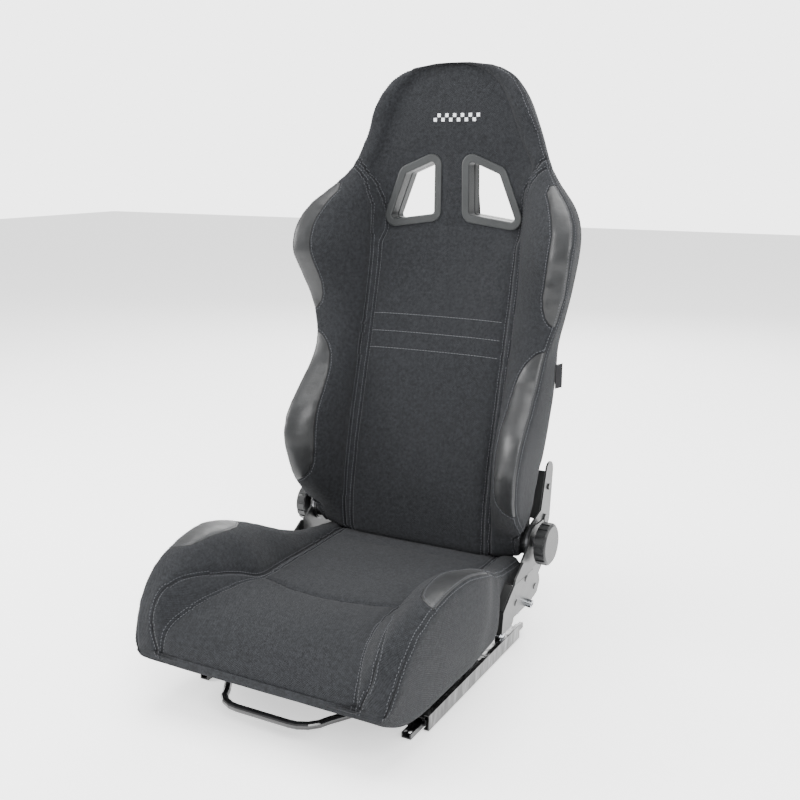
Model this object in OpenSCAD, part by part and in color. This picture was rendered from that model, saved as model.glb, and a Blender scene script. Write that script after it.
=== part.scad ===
/* [Backrest] */
// Half width of the flat centre panel between the bolster seams
panel_half = 133; // [128:1:138]
// Height of the top of the headrest above the floor
back_top = 887; // [884:1:892]
// Height of the lower edge of the backrest
back_low = 143; // [141:1:145]
// How far the centre panel is sunk behind the bolster seams at the shoulders
dish = 24; // [15:1:28]

/* [Belt slots] */
// Width of the plastic rim around a belt slot
rim_w = 13; // [10:0.5:14]
// Thickness of the rim that shows on the fabric
rim_t = 4; // [3:0.5:5]
// Wall of the sleeve that lines the slot
sleeve_t = 2.5; // [2:0.5:3]

/* [Cushion] */
// Foremost point of the cushion, in front of the rail centre
cushion_front = 293; // [288:1:296]
// Rear end of the cushion, behind the rail centre
cushion_rear = 170; // [160:1:171]
// Height of the seating surface near the front seam
seat_h = 144; // [140:1:148]

/* [Recliner] */
// Recline axis, distance behind the rail centre
pivot_y = 179; // [178:0.5:180]
// Recline axis, height above the floor
pivot_z = 158; // [157:0.5:159]
// Radius of the toothed recliner disc
disc_r = 27; // [26:0.5:28]
// Teeth on the moving recliner gear
gear_teeth = 30; // [24:1:34]
// Radius of the hand knobs
knob_r = 33; // [30:0.5:34]
// Length of the hand knobs along the axis
knob_len = 18.5; // [16:0.5:20]
// Thickness of the bracket steel
plate_t = 3; // [2.5:0.1:3]
// Inward lean of the lower bracket towards the rail, in degrees
lean = 10; // [8:0.5:11]

/* [Slide rails] */
// Half of the distance between the two rail centres
rail_x = 167.25; // [167:0.05:167.5]
// Length of the rails that are bolted to the floor
lower_len = 372; // [368:1:380]
// Length of the moving rails
upper_len = 316; // [310:1:320]
// Wall of the rail profiles
rail_t = 2; // [1.8:0.1:2]
// Distance between the front and rear floor bolts
bolt_pitch = 342; // [336:1:346]
// Radius of the floor bolt holes
bolt_hole_r = 4.25; // [4:0.05:4.4]

/* [Slide handle] */
// Outer radius of the handle tube
tube_r = 5.5; // [5:0.1:6]
// Height of the handle tube above the floor
handle_z = 31; // [30:0.5:33]
// How far the handle bar stands in front of the rail centre
handle_reach = 272; // [268:1:276]

/* [Hidden] */
$fn = 48;
black = [0.06, 0.06, 0.065];
cloth = [0.13, 0.13, 0.14];
silver = [0.75, 0.76, 0.78];

// ---- curves through a few hand-set points ----

function span(p, s, i = 0) = (i >= len(p) - 2 || s < p[i + 1][0]) ? i : span(p, s, i + 1);
function rise(p, i) =
    let(a = max(i - 1, 0), b = min(i + 1, len(p) - 1))
    (p[b][1] - p[a][1]) / (p[b][0] - p[a][0]);
// Value at s of the smooth curve through points [s, value]
function curve(p, s) =
    let(i = span(p, s), h = p[i + 1][0] - p[i][0], t = (s - p[i][0]) / h)
    (1 + 2 * t) * pow(1 - t, 2) * p[i][1] + t * t * (3 - 2 * t) * p[i + 1][1]
    + h * (t * pow(1 - t, 2) * rise(p, i) - t * t * (1 - t) * rise(p, i + 1));
// Point at t on the bend from a to c that is pulled towards b
function bend(a, b, c, t) = a * pow(1 - t, 2) + b * 2 * t * (1 - t) + c * t * t;
function mirrored(half) =
    concat(half, [for (i = [len(half) - 2:-1:1]) [-half[i][0], half[i][1]]]);

// Closed skin over rings of equal length, each one counterclockwise as seen from the last ring
module skin(rings) {
    n = len(rings[0]);
    m = len(rings);
    points = [for (r = rings) each r];
    sides = [for (j = [0:m - 2], i = [0:n - 1]) let(k = (i + 1) % n)
        each [[j * n + i, (j + 1) * n + k, j * n + k], [j * n + i, (j + 1) * n + i, (j + 1) * n + k]]];
    start = [for (i = [1:n - 2]) [0, i, i + 1]];
    end = [for (i = [1:n - 2]) [(m - 1) * n, (m - 1) * n + i + 1, (m - 1) * n + i]];
    polyhedron(points, concat(sides, start, end));
}

// ---- backrest ----

// Half width and depth of the piped edge seam at each height
edge_x = [[143, 190], [172, 195], [225, 200], [305, 208], [355, 209], [410, 205], [450, 206],
    [500, 219], [550, 235], [600, 245], [640, 243], [670, 232], [700, 202], [728, 178],
    [777, 155], [821, 134], [850, 114], [868, 92], [880, 62], [887, 20]];
edge_y = [[143, 162], [172, 146], [225, 99], [279, 82], [305, 83], [340, 97], [378, 132],
    [419, 168], [467, 190], [510, 196], [548, 188], [592, 174], [625, 182], [665, 205],
    [700, 238], [728, 259], [777, 270], [821, 265], [887, 278]];
// Depth of the seam between the centre panel and the bolster
seam_y = [[143, 156], [200, 158], [281, 171], [362, 192], [460, 219], [574, 248], [632, 259],
    [700, 262], [760, 276], [821, 276], [887, 282]];
sink = [[143, 2], [250, 8], [489, 14], [620, dish], [700, 20], [770, 4], [887, 1]];
// Rear face: depth at the middle and half width of its flat part
rear_y = [[143, 222], [200, 238], [290, 268], [440, 308], [605, 352], [700, 362], [790, 354],
    [850, 336], [887, 300]];
rear_x = [[143, 150], [300, 150], [440, 165], [520, 176], [600, 185], [660, 176], [728, 138],
    [800, 112], [850, 84], [887, 12]];

// How much the corner between flank and rear face is drawn in
flank = [[143, 4], [400, 5], [480, 13], [560, 22], [700, 22], [780, 12], [887, 4]];

function centre_y(z) = curve(seam_y, z) + curve(sink, z);
function inner_x(z) = min(panel_half, curve(edge_x, z) * 0.72);
// Largest half width that clears the moving arm at depth y
function arm_clear(y, z) = (z < 292 && y > 160) ? 172 : (z < 292 && y > 150) ? 182 : 400;

function back_half(z) =
    let(ex = curve(edge_x, z), ey = curve(edge_y, z), ix = inner_x(z), iy = curve(seam_y, z),
        cy = centre_y(z), ry = curve(rear_y, z), rx = curve(rear_x, z), fl = curve(flank, z))
    concat(
        [[0, cy], [ix * 0.5, cy + 0.5], [ix * 0.82, cy - (cy - iy) * 0.35], [ix, iy]],
        [for (t = [0.2, 0.4, 0.6, 0.8, 0.93])
            bend([ix, iy], [ix + (ex - ix) * 0.3, ey - 8], [ex, ey], t)],
        [[ex, ey]],
        [for (t = [0.12, 0.3, 0.5, 0.7, 0.87, 1])
            let(p = bend([ex, ey], [ex - fl, ry - 3 * fl], [rx, ry], t))
            [min(p[0], arm_clear(p[1], z)), p[1]]],
        [[rx * 0.5, ry + 4], [0, ry + 5]]);

back_z = concat([143, 150, 162, 176, 192], [for (z = [210:22:694]) z], [706, 718, 730, 745, 765, 790, 815, 835,
    850, 862, 872, 880, 885, 887]);
function at_height(z) = back_low + (z - 143) * (back_top - back_low) / (887 - 143);
function back_ring(z) = [for (p = mirrored(back_half(z))) [p[0], p[1], at_height(z)]];

// Belt slot outline, seen from the front, on the right side
slot_corners = [[29, 650], [117, 638], [85, 718], [28, 741]];
slot_y = 283;                      // depth of the rim's back face
slot_mid = 302;                    // where the front and rear sleeves meet
slot_rear = 322;                   // rear face of the rear rim, at the bottom of its recess

module slot_shape(grow) {
    offset(r = grow + 8, $fn = 32) offset(delta = -8) polygon(slot_corners);
}

// Extrudes an outline drawn in X and Z along Y, from depth y0 to y1
module along_y(y0, y1) {
    translate([0, y1, 0]) rotate([90, 0, 0]) linear_extrude(y1 - y0) children();
}

// Hoop frame: side tubes from the arms to the shoulders
hoop_r = 10;
hoop_low = [160, 214, 228];
hoop_mid = [152, 291, 600];
hoop_high = [118, 312, 778];

brace_z = [236, 560];              // heights of the two thin braces
function hoop_share(z) = (z - hoop_low[2]) / (hoop_mid[2] - hoop_low[2]);
function hoop_x(z) = hoop_low[0] + hoop_share(z) * (hoop_mid[0] - hoop_low[0]);
function hoop_y(z) = hoop_low[1] + hoop_share(z) * (hoop_mid[1] - hoop_low[1]);

module tube_between(a, b, r) {
    d = b - a;
    translate(a) rotate([0, acos(d[2] / norm(d)), atan2(d[1], d[0])]) cylinder(h = norm(d), r = r);
}

module hoop(r) {
    for (s = [-1, 1]) mirror([s < 0 ? 1 : 0, 0, 0]) {
        tube_between(hoop_low, hoop_mid, r);
        tube_between(hoop_mid, hoop_high, r);
        for (p = [hoop_mid, hoop_high]) translate(p) sphere(r = r + 2);
    }
    translate([-hoop_high[0], hoop_high[1], hoop_high[2]]) rotate([0, 90, 0])
        cylinder(h = 2 * hoop_high[0], r = r);
    for (z = brace_z) translate([-hoop_x(z), hoop_y(z), z]) rotate([0, 90, 0])
        cylinder(h = 2 * hoop_x(z), r = r * 0.6);
}

// Flat lugs that join the hoop to the arms, each t thick on both sides of its middle
module hoop_lugs(t) {
    for (s = [-1, 1]) translate([s * 166 - t, 0, 0]) rotate([90, 0, 90]) linear_extrude(2 * t)
        offset(delta = t - plate_t) polygon([[212, 205], [232, 205], [250, 262], [232, 266]]);
}

// Hollow behind the foam, where the springs lie, closed by the rear panel
well_z = [196, 300, 400, 500, 596];
module well() {
    skin([for (z = well_z) let(y = hoop_y(z) - 16)
        [for (p = [[-138, y], [138, y], [138, y + 120], [-138, y + 120]]) [p[0], p[1], z]]]);
}

module back_pad() {
    color(cloth) difference() {
        skin([for (z = back_z) back_ring(z)]);
        well();
        hoop(hoop_r + 0.2);
        hoop_lugs(plate_t + 0.3);
        for (s = [0, 1]) mirror([s, 0, 0]) {
            along_y(200, 420) slot_shape(0.2);
            along_y(200, slot_y - 0.8) slot_shape(rim_w - sleeve_t + 0.2);
            along_y(slot_rear - rim_t - 0.2, 420) slot_shape(rim_w - sleeve_t + 0.2);
            along_y(slot_rear + 8, 420) slot_shape(22);
            along_y(slot_rear + 20, 420) slot_shape(30);
            along_x(arm_x - 0.3, 60) offset(r = 0.4) arm_outline();
            translate([arm_x - 8.3, pivot_y, pivot_z]) rotate([0, 90, 0]) cylinder(h = 60, r = 25.4);
        }
        translate([-230, pivot_y, pivot_z]) rotate([0, 90, 0]) cylinder(h = 460, r = 9);
    }
}

// Stiff board that closes the hollow at the rear
module back_panel() {
    color(black) intersection() {
        skin([for (z = well_z) let(y = curve(rear_y, z) - 9)
            [for (p = [[-137.5, y], [137.5, y], [137.5, y + 60], [-137.5, y + 60]])
                [p[0], p[1], z + (z == 196 ? 0.5 : z == 596 ? -0.5 : 0)]]]);
        skin([for (z = back_z) back_ring(z)]);
    }
}

// Round bar swept along a flat path, with rings square to the path; up is its normal
module swept(path, up, r, sides = 6) {
    n = len(path);
    skin([for (i = [0:n - 1]) let(
        way = path[min(i + 1, n - 1)] - path[max(i - 1, 0)],
        ahead = way / norm(way),
        across = cross(up, ahead))
        [for (k = [0:sides - 1]) let(a = 360 * k / sides)
            path[i] + r * (cos(a) * across + sin(a) * up)]]);
}

module back_frame() {
    color(black) {
        hoop(hoop_r);
        hoop_lugs(plate_t);
    }
}

module back_springs() {
    slope = (hoop_mid[1] - hoop_low[1]) / (hoop_mid[2] - hoop_low[2]);
    up = [0, -1, slope] / norm([0, -1, slope]);
    color(silver) for (z = [330, 400, 470])
        swept([for (i = [0:48]) let(h = spring_wave(i / 48, 5) * 15)
            [-136 + i * 272 / 48, hoop_y(z) + h * slope, z + h]], up, 1.8);
}

// Sideways offset of a sinuous spring at share t of its length, flat at both ends
function spring_wave(t, waves) = sin(360 * waves * t) * min(1, 12 * min(t, 1 - t));

module slot_rim(side, front) {
    y0 = front ? slot_y - 5 : slot_rear - rim_t;
    color(black) mirror([side < 0 ? 1 : 0, 0, 0]) difference() {
        union() {
            along_y(y0, y0 + rim_t) slot_shape(rim_w - sleeve_t);
            along_y(front ? y0 : slot_mid, front ? slot_mid - 0.5 : slot_rear) slot_shape(0);
        }
        along_y(200, 420) slot_shape(-sleeve_t);
    }
}

module side_tag() {
    color([0.3, 0.3, 0.32]) translate([203, 236, 392]) rotate([0, 0, -18]) cube([1.2, 16, 38]);
}

// ---- recliner: arms, gears, springs, shaft and knobs ----

arm_x = 190;                       // inner face of the arm
ring_x = 193.3;                    // inner face of the fixed ring
plate_x = 197;                     // inner face of the recliner plate
side_x = 200;                      // inner face of the outer side plate
bend_z = 118;                      // height at which the lower bracket starts to lean
shaft_r = 6;

// Extrudes an outline drawn in Y and Z along X, from x to x + t
module along_x(x, t) {
    translate([x, 0, 0]) rotate([90, 0, 90]) linear_extrude(t) children();
}

module on_side(side) {
    mirror([side < 0 ? 1 : 0, 0, 0]) children();
}

// Bar of square section that runs along a line in Y and Z, from x to x + w
module flange(a, b, x, w, t) {
    d = b - a;
    translate([x, a[0], a[1]]) rotate([atan2(d[1], d[0]), 0, 0]) cube([w, norm(d), t]);
}

module arm_outline() {
    hull() {
        translate([254, 253]) circle(r = 15);
        translate([238, 180]) circle(r = 22);
    }
    hull() {
        translate([238, 180]) circle(r = 20);
        translate([pivot_y, pivot_z]) circle(r = disc_r - 1);
    }
}

module arm(side) {
    color(black) on_side(side) difference() {
        union() {
            along_x(arm_x, plate_t) arm_outline();
            flange([216, 182], [239, 256], arm_x - 13, 14, plate_t);
        }
        translate([0, pivot_y, pivot_z]) rotate([0, 90, 0]) cylinder(h = 300, r = 10);
        translate([0, 250, 227]) rotate([0, 90, 0]) cylinder(h = 300, r = 3.2);
        translate([0, 236, 178]) rotate([0, 90, 0]) cylinder(h = 300, r = 4);
    }
}

module arm_screws(side) {
    color(silver) on_side(side) {
        translate([173, 250, 227]) rotate([0, 90, 0]) cylinder(h = 20, r = 3.2);
        translate([193, 250, 227]) rotate([0, 90, 0]) cylinder(h = 2.5, r = 5);
        translate([173, 236, 178]) rotate([0, 90, 0]) cylinder(h = 20, r = 4);
        translate([193, 236, 178]) rotate([0, 90, 0]) cylinder(h = 3, r = 7);
    }
}

function teeth(n, root, tip) = [for (i = [0:n - 1], k = [0:3])
    let(a = 360 / n * (i + [0, 0.22, 0.5, 0.72][k]), r = k == 0 || k == 3 ? root : tip)
    [r * cos(a), r * sin(a)]];

module recliner_gear(side) {
    color(silver) on_side(side) difference() {
        along_x(arm_x + plate_t, 3.7) translate([pivot_y, pivot_z])
            polygon(teeth(gear_teeth, disc_r - 9, disc_r - 7));
        translate([0, pivot_y, pivot_z]) rotate([0, 90, 0]) cylinder(h = 300, r = 10);
    }
}

module recliner_ring(side) {
    color(black) on_side(side) along_x(ring_x, 3.7) translate([pivot_y, pivot_z]) difference() {
        circle(r = disc_r);
        polygon(teeth(gear_teeth + 1, disc_r - 6.6, disc_r - 4.6));
    }
}

// Keeps the part above the bend upright and leans the part below it inwards
module bent(x, t) {
    intersection() {
        along_x(x, t) children();
        translate([100, 0, bend_z]) cube([200, 400, 200]);
    }
    translate([side_x, 0, bend_z]) rotate([0, lean, 0]) intersection() {
        translate([-side_x, 0, -bend_z]) along_x(x, t) children();
        translate([-100, 0, -200]) cube([200, 400, 200]);
    }
}

recliner_outline = [[120, 108], [126, 143], [152, 160], [180, 184], [214, 184], [224, 160],
    [216, 104], [204, 86], [160, 96]];
side_outline = [[78, 40], [120, 40], [120, 52], [186, 52], [212, 60], [214, 80], [203, 96],
    [126, 143], [97, 126], [66, 83]];

module recliner_plate(side) {
    color(black) on_side(side) difference() {
        bent(plate_x, plate_t) union() {
            offset(r = 3) offset(delta = -3) polygon(recliner_outline);
            translate([pivot_y, pivot_z]) circle(r = disc_r);
        }
        translate([0, pivot_y, pivot_z]) rotate([0, 90, 0]) cylinder(h = 300, r = 10);
        rivet_holes();
    }
}

rivet_spots = [[141, 111.5], [193, 78], [115, 80]];
module rivet_holes() {
    leaning() for (p = rivet_spots) translate([150, p[0], p[1]]) rotate([0, 90, 0])
        cylinder(h = 80, r = 4);
}

// Moves things onto the leaning lower part of the bracket
module leaning() {
    translate([side_x, 0, bend_z]) rotate([0, lean, 0]) translate([-side_x, 0, -bend_z]) children();
}

screw_spot = [171, 57];
module side_plate(side) {
    color(black) on_side(side) difference() {
        union() {
            bent(side_x, plate_t) offset(r = 4) offset(delta = -4) polygon(side_outline);
            leaning() flange([69, 83], [92, 116], side_x - 14, 14, plate_t);
            leaning() flange([81, 43], [69, 83], side_x - 14, 14, plate_t);
            translate([160, 82, 38.5]) cube([29, 36, plate_t]);
        }
        rivet_holes();
        leaning() translate([150, screw_spot[0], screw_spot[1]]) rotate([0, 90, 0])
            cylinder(h = 80, r = 4);
        translate([rail_x + 8, 104, 30]) cylinder(h = 20, r = 4);
    }
}

module rivets(side) {
    color([0.2, 0.2, 0.2]) on_side(side) leaning() for (p = rivet_spots)
        translate([plate_x - 2, p[0], p[1]]) rotate([0, 90, 0]) {
            cylinder(h = 8, r = 4);
            translate([0, 0, 8]) cylinder(h = 1.5, r1 = 6, r2 = 4.5, $fn = 32);
            cylinder(h = 2, r = 6);
        }
}

// Bright socket screw and its zinc nut, which hold the cushion frame to the plate
module frame_screws(side) {
    on_side(side) leaning() {
        color(silver) translate([0, screw_spot[0], screw_spot[1]]) rotate([0, 90, 0]) difference() {
            union() {
                translate([0, 0, 186]) cylinder(h = 17, r = 4);
                translate([0, 0, side_x + plate_t]) cylinder(h = 9, r = 6.5);
            }
            translate([0, 0, side_x + plate_t + 4]) cylinder(h = 6, r = 3.4, $fn = 6);
        }
        color([0.75, 0.62, 0.32]) translate([side_x - 9, 150, 51]) rotate([0, 90, 0])
            cylinder(h = 9, r = 8, $fn = 6);
    }
}

module foot_bolt(side) {
    color(silver) on_side(side) translate([rail_x + 8, 104, 0]) {
        translate([0, 0, 16]) cylinder(h = 30, r = 4);
        translate([0, 0, 19]) cylinder(h = 9.5, r = 7.5);
        translate([0, 0, 28.5]) cylinder(h = 10, r = 7.5, $fn = 6);
        translate([0, 0, 41.5]) cylinder(h = 6, r = 7, $fn = 6);
    }
}

module balance_spring(side) {
    turns = 2.6;
    steps = 64;
    inner = [for (i = [0:steps]) let(a = 360 * turns * i / steps, r = 11 + 12 * i / steps)
        [r * cos(a), r * sin(a)]];
    outer = [for (i = [steps:-1:0]) let(a = 360 * turns * i / steps, r = 12.8 + 12 * i / steps)
        [r * cos(a), r * sin(a)]];
    color([0.25, 0.25, 0.26]) on_side(side)
        along_x(arm_x - 8, 8) translate([pivot_y, pivot_z]) polygon(concat(inner, outer));
}

module cross_shaft() {
    color(silver) translate([-222, pivot_y, pivot_z]) rotate([0, 90, 0]) cylinder(h = 444, r = shaft_r);
}

// Eccentric cam that drives the gear, on a collar that fits the shaft
module cam(side) {
    color(silver) on_side(side) translate([arm_x - 1, pivot_y, pivot_z]) rotate([0, 90, 0])
        difference() {
            union() {
                translate([0, 0.6, 0]) cylinder(h = 10.5, r = 9);
                cylinder(h = 13, r = 8);
            }
            translate([0, 0, -1]) cylinder(h = 20, r = shaft_r);
        }
}

module knob(side) {
    grips = 16;
    x0 = 228 - knob_len;
    color(black) on_side(side) translate([0, pivot_y, pivot_z]) rotate([0, 90, 0]) difference() {
        union() {
            translate([0, 0, x0]) cylinder(h = knob_len - 2, r = knob_r - 1.5);
            translate([0, 0, x0 + knob_len - 2]) cylinder(h = 2, r1 = knob_r - 1.5, r2 = knob_r - 4);
            for (i = [0:grips - 1]) rotate(i * 360 / grips) translate([knob_r - 4, -4, x0 + 1])
                cube([4, 8, knob_len - 4]);
            translate([0, 0, 203.5]) cylinder(h = 8, r = 13);
        }
        translate([0, 0, 200]) cylinder(h = 22, r = shaft_r);
    }
}

// ---- cushion ----

// Outer top seam of the bolster: half width and height along the depth
crest_x = [[-293, 150], [-285, 186], [-275, 206], [-240, 213], [-176, 218], [-100, 223], [-50, 222],
    [7, 197], [40, 186], [80, 172], [172, 168]];
crest_z = [[-293, 84], [-288, 108], [-268, 152], [-234, 184], [-176, 206], [-120, 211], [-80, 204],
    [-28, 185], [7, 168], [40, 150], [90, 134], [172, 124]];
// Seam at the foot of the bolster
foot_x = [[-293, 140], [-250, 150], [-190, 142], [-140, 130], [-105, 120], [18, 133], [93, 144],
    [172, 146]];
foot_z = [[-293, 84], [-286, 108], [-255, 134], [-200, 145], [-105, seat_h], [18, 134], [93, 126],
    [172, 122]];
// Lower edge and its half width
low_z = [[-293, 80], [-270, 62], [-240, 51], [-180, 48], [20, 48], [50, 60], [80, 86], [172, 92]];
low_x = [[-293, 150], [-280, 172], [-240, 196], [-180, 202], [20, 196], [60, 172], [172, 160]];

function cushion_half(y) =
    let(cx = curve(crest_x, y), cz = curve(crest_z, y), fx = curve(foot_x, y),
        fz = curve(foot_z, y), lx = curve(low_x, y), lz = curve(low_z, y))
    concat(
        [[0, fz + 1], [fx * 0.6, fz + 1], [fx, fz]],
        [for (t = [0.2, 0.4, 0.6, 0.8])
            bend([fx, fz], [fx + (cx - fx) * 0.35, cz + 9], [cx, cz], t)],
        [[cx, cz]],
        [for (t = [0.25, 0.5, 0.75, 1]) bend([cx, cz], [cx + 4, (cz + lz) / 2], [lx, lz], t)],
        [[min(lx - 14, 128), max(lz, 76)], [0, max(lz, 76)]]);

cushion_y = [-293, -290, -284, -275, -262, -245, -225, -200, -170, -140, -110, -80, -50, -20, 5,
    30, 50, 70, 90, 120, 150, 172];
function at_depth(y) = y < 0 ? y * cushion_front / 293 : y * cushion_rear / 172;
function cushion_ring(y) = [for (p = mirrored(cushion_half(y))) [p[0], at_depth(y), p[1]]];

module cushion_pad() {
    color(cloth) difference() {
        skin([for (y = cushion_y) cushion_ring(y)]);
        translate([-187, -246, 0]) cube([374, 262, 72]);
        translate([-157, -246, 0]) cube([314, 390, 92]);
    }
}

module cushion_frame() {
    color(black) {
        for (s = [-1, 1]) {
            translate([s * 168 - 15, -236, 50]) cube([30, 250, plate_t]);
            tube_between([s * 146, -226, 74], [s * 146, 128, 74], 6);
        }
        translate([-152, -226, 74]) rotate([0, 90, 0]) cylinder(h = 304, r = 8);
        translate([-152, 128, 74]) rotate([0, 90, 0]) cylinder(h = 304, r = 8);
        for (s = [-1, 1]) tube_between([s * 150, 128, 74], [s * 166, 150, 60], 6);
        for (s = [-1, 1]) on_side(s) leaning() translate([side_x - 24, 148, 46]) cube([10, 40, 22]);
    }
}

module frame_standoffs() {
    color(silver) for (s = [-1, 1], y = [-130, -10]) translate([s * rail_x, y, 0]) {
        translate([0, 0, 19]) cylinder(h = 31, r = 7);
        translate([0, 0, 53]) cylinder(h = 4, r = 6, $fn = 6);
    }
}

module cushion_springs() {
    color(silver) for (x = [-105, -35, 35, 105])
        swept([for (i = [0:52]) [x + 17 * spring_wave(i / 52, 6), -216 + i * 334 / 52, 84]],
            [0, 0, 1], 1.8);
}

// ---- slide rails ----

module both_ends(pitch) {
    for (s = [-1, 1]) translate([0, s * pitch / 2, 0]) children();
}

// Floor rail: a shallow channel that carries the wider running channel
module lower_rail(side) {
    t = rail_t;
    run_start = -156;
    color(black) on_side(side) translate([rail_x, 0, 0]) difference() {
        union() {
            along_y(-lower_len / 2, lower_len / 2) difference() {
                translate([-7.25, 0]) square([14.5, 8]);
                translate([-7.25 + t, t]) square([14.5 - 2 * t, 10]);
            }
            along_y(run_start, lower_len / 2) difference() {
                translate([-14, 6]) square([28, 9]);
                translate([-14 + t, 8]) square([28 - 2 * t, 5]);
                translate([-8, 12]) square([16, 5]);
                translate([-7.25 + t, 0]) square([14.5 - 2 * t, 10]);
            }
        }
        both_ends(bolt_pitch) translate([0, 0, -1]) cylinder(h = 12, r = bolt_hole_r);
        for (i = [-9:9]) translate([-12, i * 12 - 3.5, 12]) cube([3.6, 7, 4]);
        translate([1, -166 + 4, -1]) cube([3, 8, 4]);
    }
}

module upper_rail(side) {
    t = rail_t;
    color(black) on_side(side) {
        difference() {
            along_y(-upper_len / 2, upper_len / 2) translate([rail_x, 0]) difference() {
                union() {
                    translate([-19.5, 1.5]) square([39, 22.5]);
                }
                translate([-19.5 + t, 1.5 + t]) square([39 - 2 * t, 22.5 - 2 * t - 5]);
                translate([-11, 0]) square([22, 10]);
                translate([-12.5, 19]) square([25, 10]);
                translate([-19.5 + t, 10]) square([5, 12]);
                translate([19.5 - t - 5, 10]) square([5, 12]);
            }
            translate([rail_x + 8, 104, 10]) cylinder(h = 20, r = 4);
            translate([rail_x + 8, 104, 19]) cylinder(h = 11, r = 7.7);
            translate([rail_x - 11.5, -104, 15]) cube([6, 50, 12]);
        }
        difference() {
            along_x(rail_x - 22.5, 3) hull() {
                translate([-20, 32]) circle(r = 9);
                translate([-36, 10]) square([32, 2]);
            }
            translate([rail_x - 30, -20, 32]) rotate([0, 90, 0]) cylinder(h = 20, r = 4.05);
        }
    }
}

// Nylon pads that the moving rail runs on
module glides(side) {
    color([0.85, 0.85, 0.8]) on_side(side) for (y = [-130, 0, 130], s = [-1, 1])
        translate([rail_x + s * 10.5 - 2, y + (y == 0 ? 10 : -12), 15.05]) cube([4, 24, 1.95]);
}

// ---- slide handle and latches ----

// Half of the handle's path: straight front, round corner, leg that spreads towards the latch
handle_half = concat(
    [[0, -handle_reach], [42, -handle_reach]],
    [for (a = [15:20:75]) [42 + 42 * sin(a), -handle_reach + 42 * (1 - cos(a))]],
    [[88, -handle_reach + 40], [98, -handle_reach + 56], [137, -121], [142, -112], [142, -106]]);

module handle_bar() {
    right = [for (p = handle_half) [p[0], p[1], handle_z]];
    left = [for (i = [len(right) - 1:-1:1]) [-right[i][0], right[i][1], handle_z]];
    color(black) swept(concat(left, right), [0, 0, 1], tube_r, 16);
}

module latch(side) {
    color([0.3, 0.3, 0.3]) on_side(side) {
        difference() {
            along_x(rail_x - 27, 4) hull() {
                translate([-20, 32]) circle(r = 8);
                translate([-100, 32]) circle(r = 7);
            }
            translate([rail_x - 40, -20, 32]) rotate([0, 90, 0]) cylinder(h = 30, r = 4);
            translate([rail_x - 40, -130, 20]) cube([30, 24, 24]);
        }
        translate([rail_x - 23.5, -94, 25]) cube([17, 30, 3]);
        for (y = [-91, -79, -67]) translate([rail_x - 9.8, y - 2.5, 15.6]) cube([3, 5, 10]);
    }
}

module latch_pins() {
    color(silver) for (s = [-1, 1]) on_side(s) translate([rail_x - 31, -20, 32]) rotate([0, 90, 0]) {
        cylinder(h = 12.5, r = 4);
        cylinder(h = 2.5, r = 7);
    }
}

lower_rail(-1);  // lower_rail_left
lower_rail(1);  // lower_rail_right
upper_rail(-1);  // upper_rail_left
upper_rail(1);  // upper_rail_right
glides(-1);  // glides_left
glides(1);  // glides_right
cushion_frame();
frame_standoffs();
cushion_springs();
cushion_pad();
side_plate(-1);  // side_plate_left
side_plate(1);  // side_plate_right
recliner_plate(-1);  // recliner_plate_left
recliner_plate(1);  // recliner_plate_right
recliner_ring(-1);  // recliner_ring_left
recliner_ring(1);  // recliner_ring_right
rivets(-1);  // rivets_left
rivets(1);  // rivets_right
frame_screws(-1);  // frame_screws_left
frame_screws(1);  // frame_screws_right
foot_bolt(-1);  // foot_bolt_left
foot_bolt(1);  // foot_bolt_right
arm(-1);  // arm_left
arm(1);  // arm_right
recliner_gear(-1);  // recliner_gear_left
recliner_gear(1);  // recliner_gear_right
arm_screws(-1);  // arm_screws_left
arm_screws(1);  // arm_screws_right
balance_spring(-1);  // balance_spring_left
balance_spring(1);  // balance_spring_right
back_frame();
back_springs();
back_pad();
back_panel();
slot_rim(-1, true);  // slot_rim_front_left
slot_rim(1, true);  // slot_rim_front_right
slot_rim(-1, false);  // slot_rim_rear_left
slot_rim(1, false);  // slot_rim_rear_right
side_tag();
cross_shaft();
knob(-1);  // knob_left
knob(1);  // knob_right
cam(-1);  // cam_left
cam(1);  // cam_right
handle_bar();
latch(-1);  // latch_left
latch(1);  // latch_right
latch_pins();
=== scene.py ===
import math

import bmesh
import bpy
import numpy as np
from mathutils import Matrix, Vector, noise
from mathutils.bvhtree import BVHTree


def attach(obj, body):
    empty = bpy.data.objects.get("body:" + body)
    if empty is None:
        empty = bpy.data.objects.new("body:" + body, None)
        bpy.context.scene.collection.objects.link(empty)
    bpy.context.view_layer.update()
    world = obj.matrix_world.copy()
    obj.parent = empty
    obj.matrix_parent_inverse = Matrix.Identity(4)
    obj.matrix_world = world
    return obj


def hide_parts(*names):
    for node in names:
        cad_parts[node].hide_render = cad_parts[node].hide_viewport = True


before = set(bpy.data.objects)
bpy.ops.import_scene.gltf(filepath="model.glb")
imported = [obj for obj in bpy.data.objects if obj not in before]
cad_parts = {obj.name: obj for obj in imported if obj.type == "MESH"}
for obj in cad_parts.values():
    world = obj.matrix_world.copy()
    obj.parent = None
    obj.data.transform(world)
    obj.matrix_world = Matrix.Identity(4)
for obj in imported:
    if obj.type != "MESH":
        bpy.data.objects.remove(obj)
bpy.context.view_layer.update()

mm = 0.001


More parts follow.
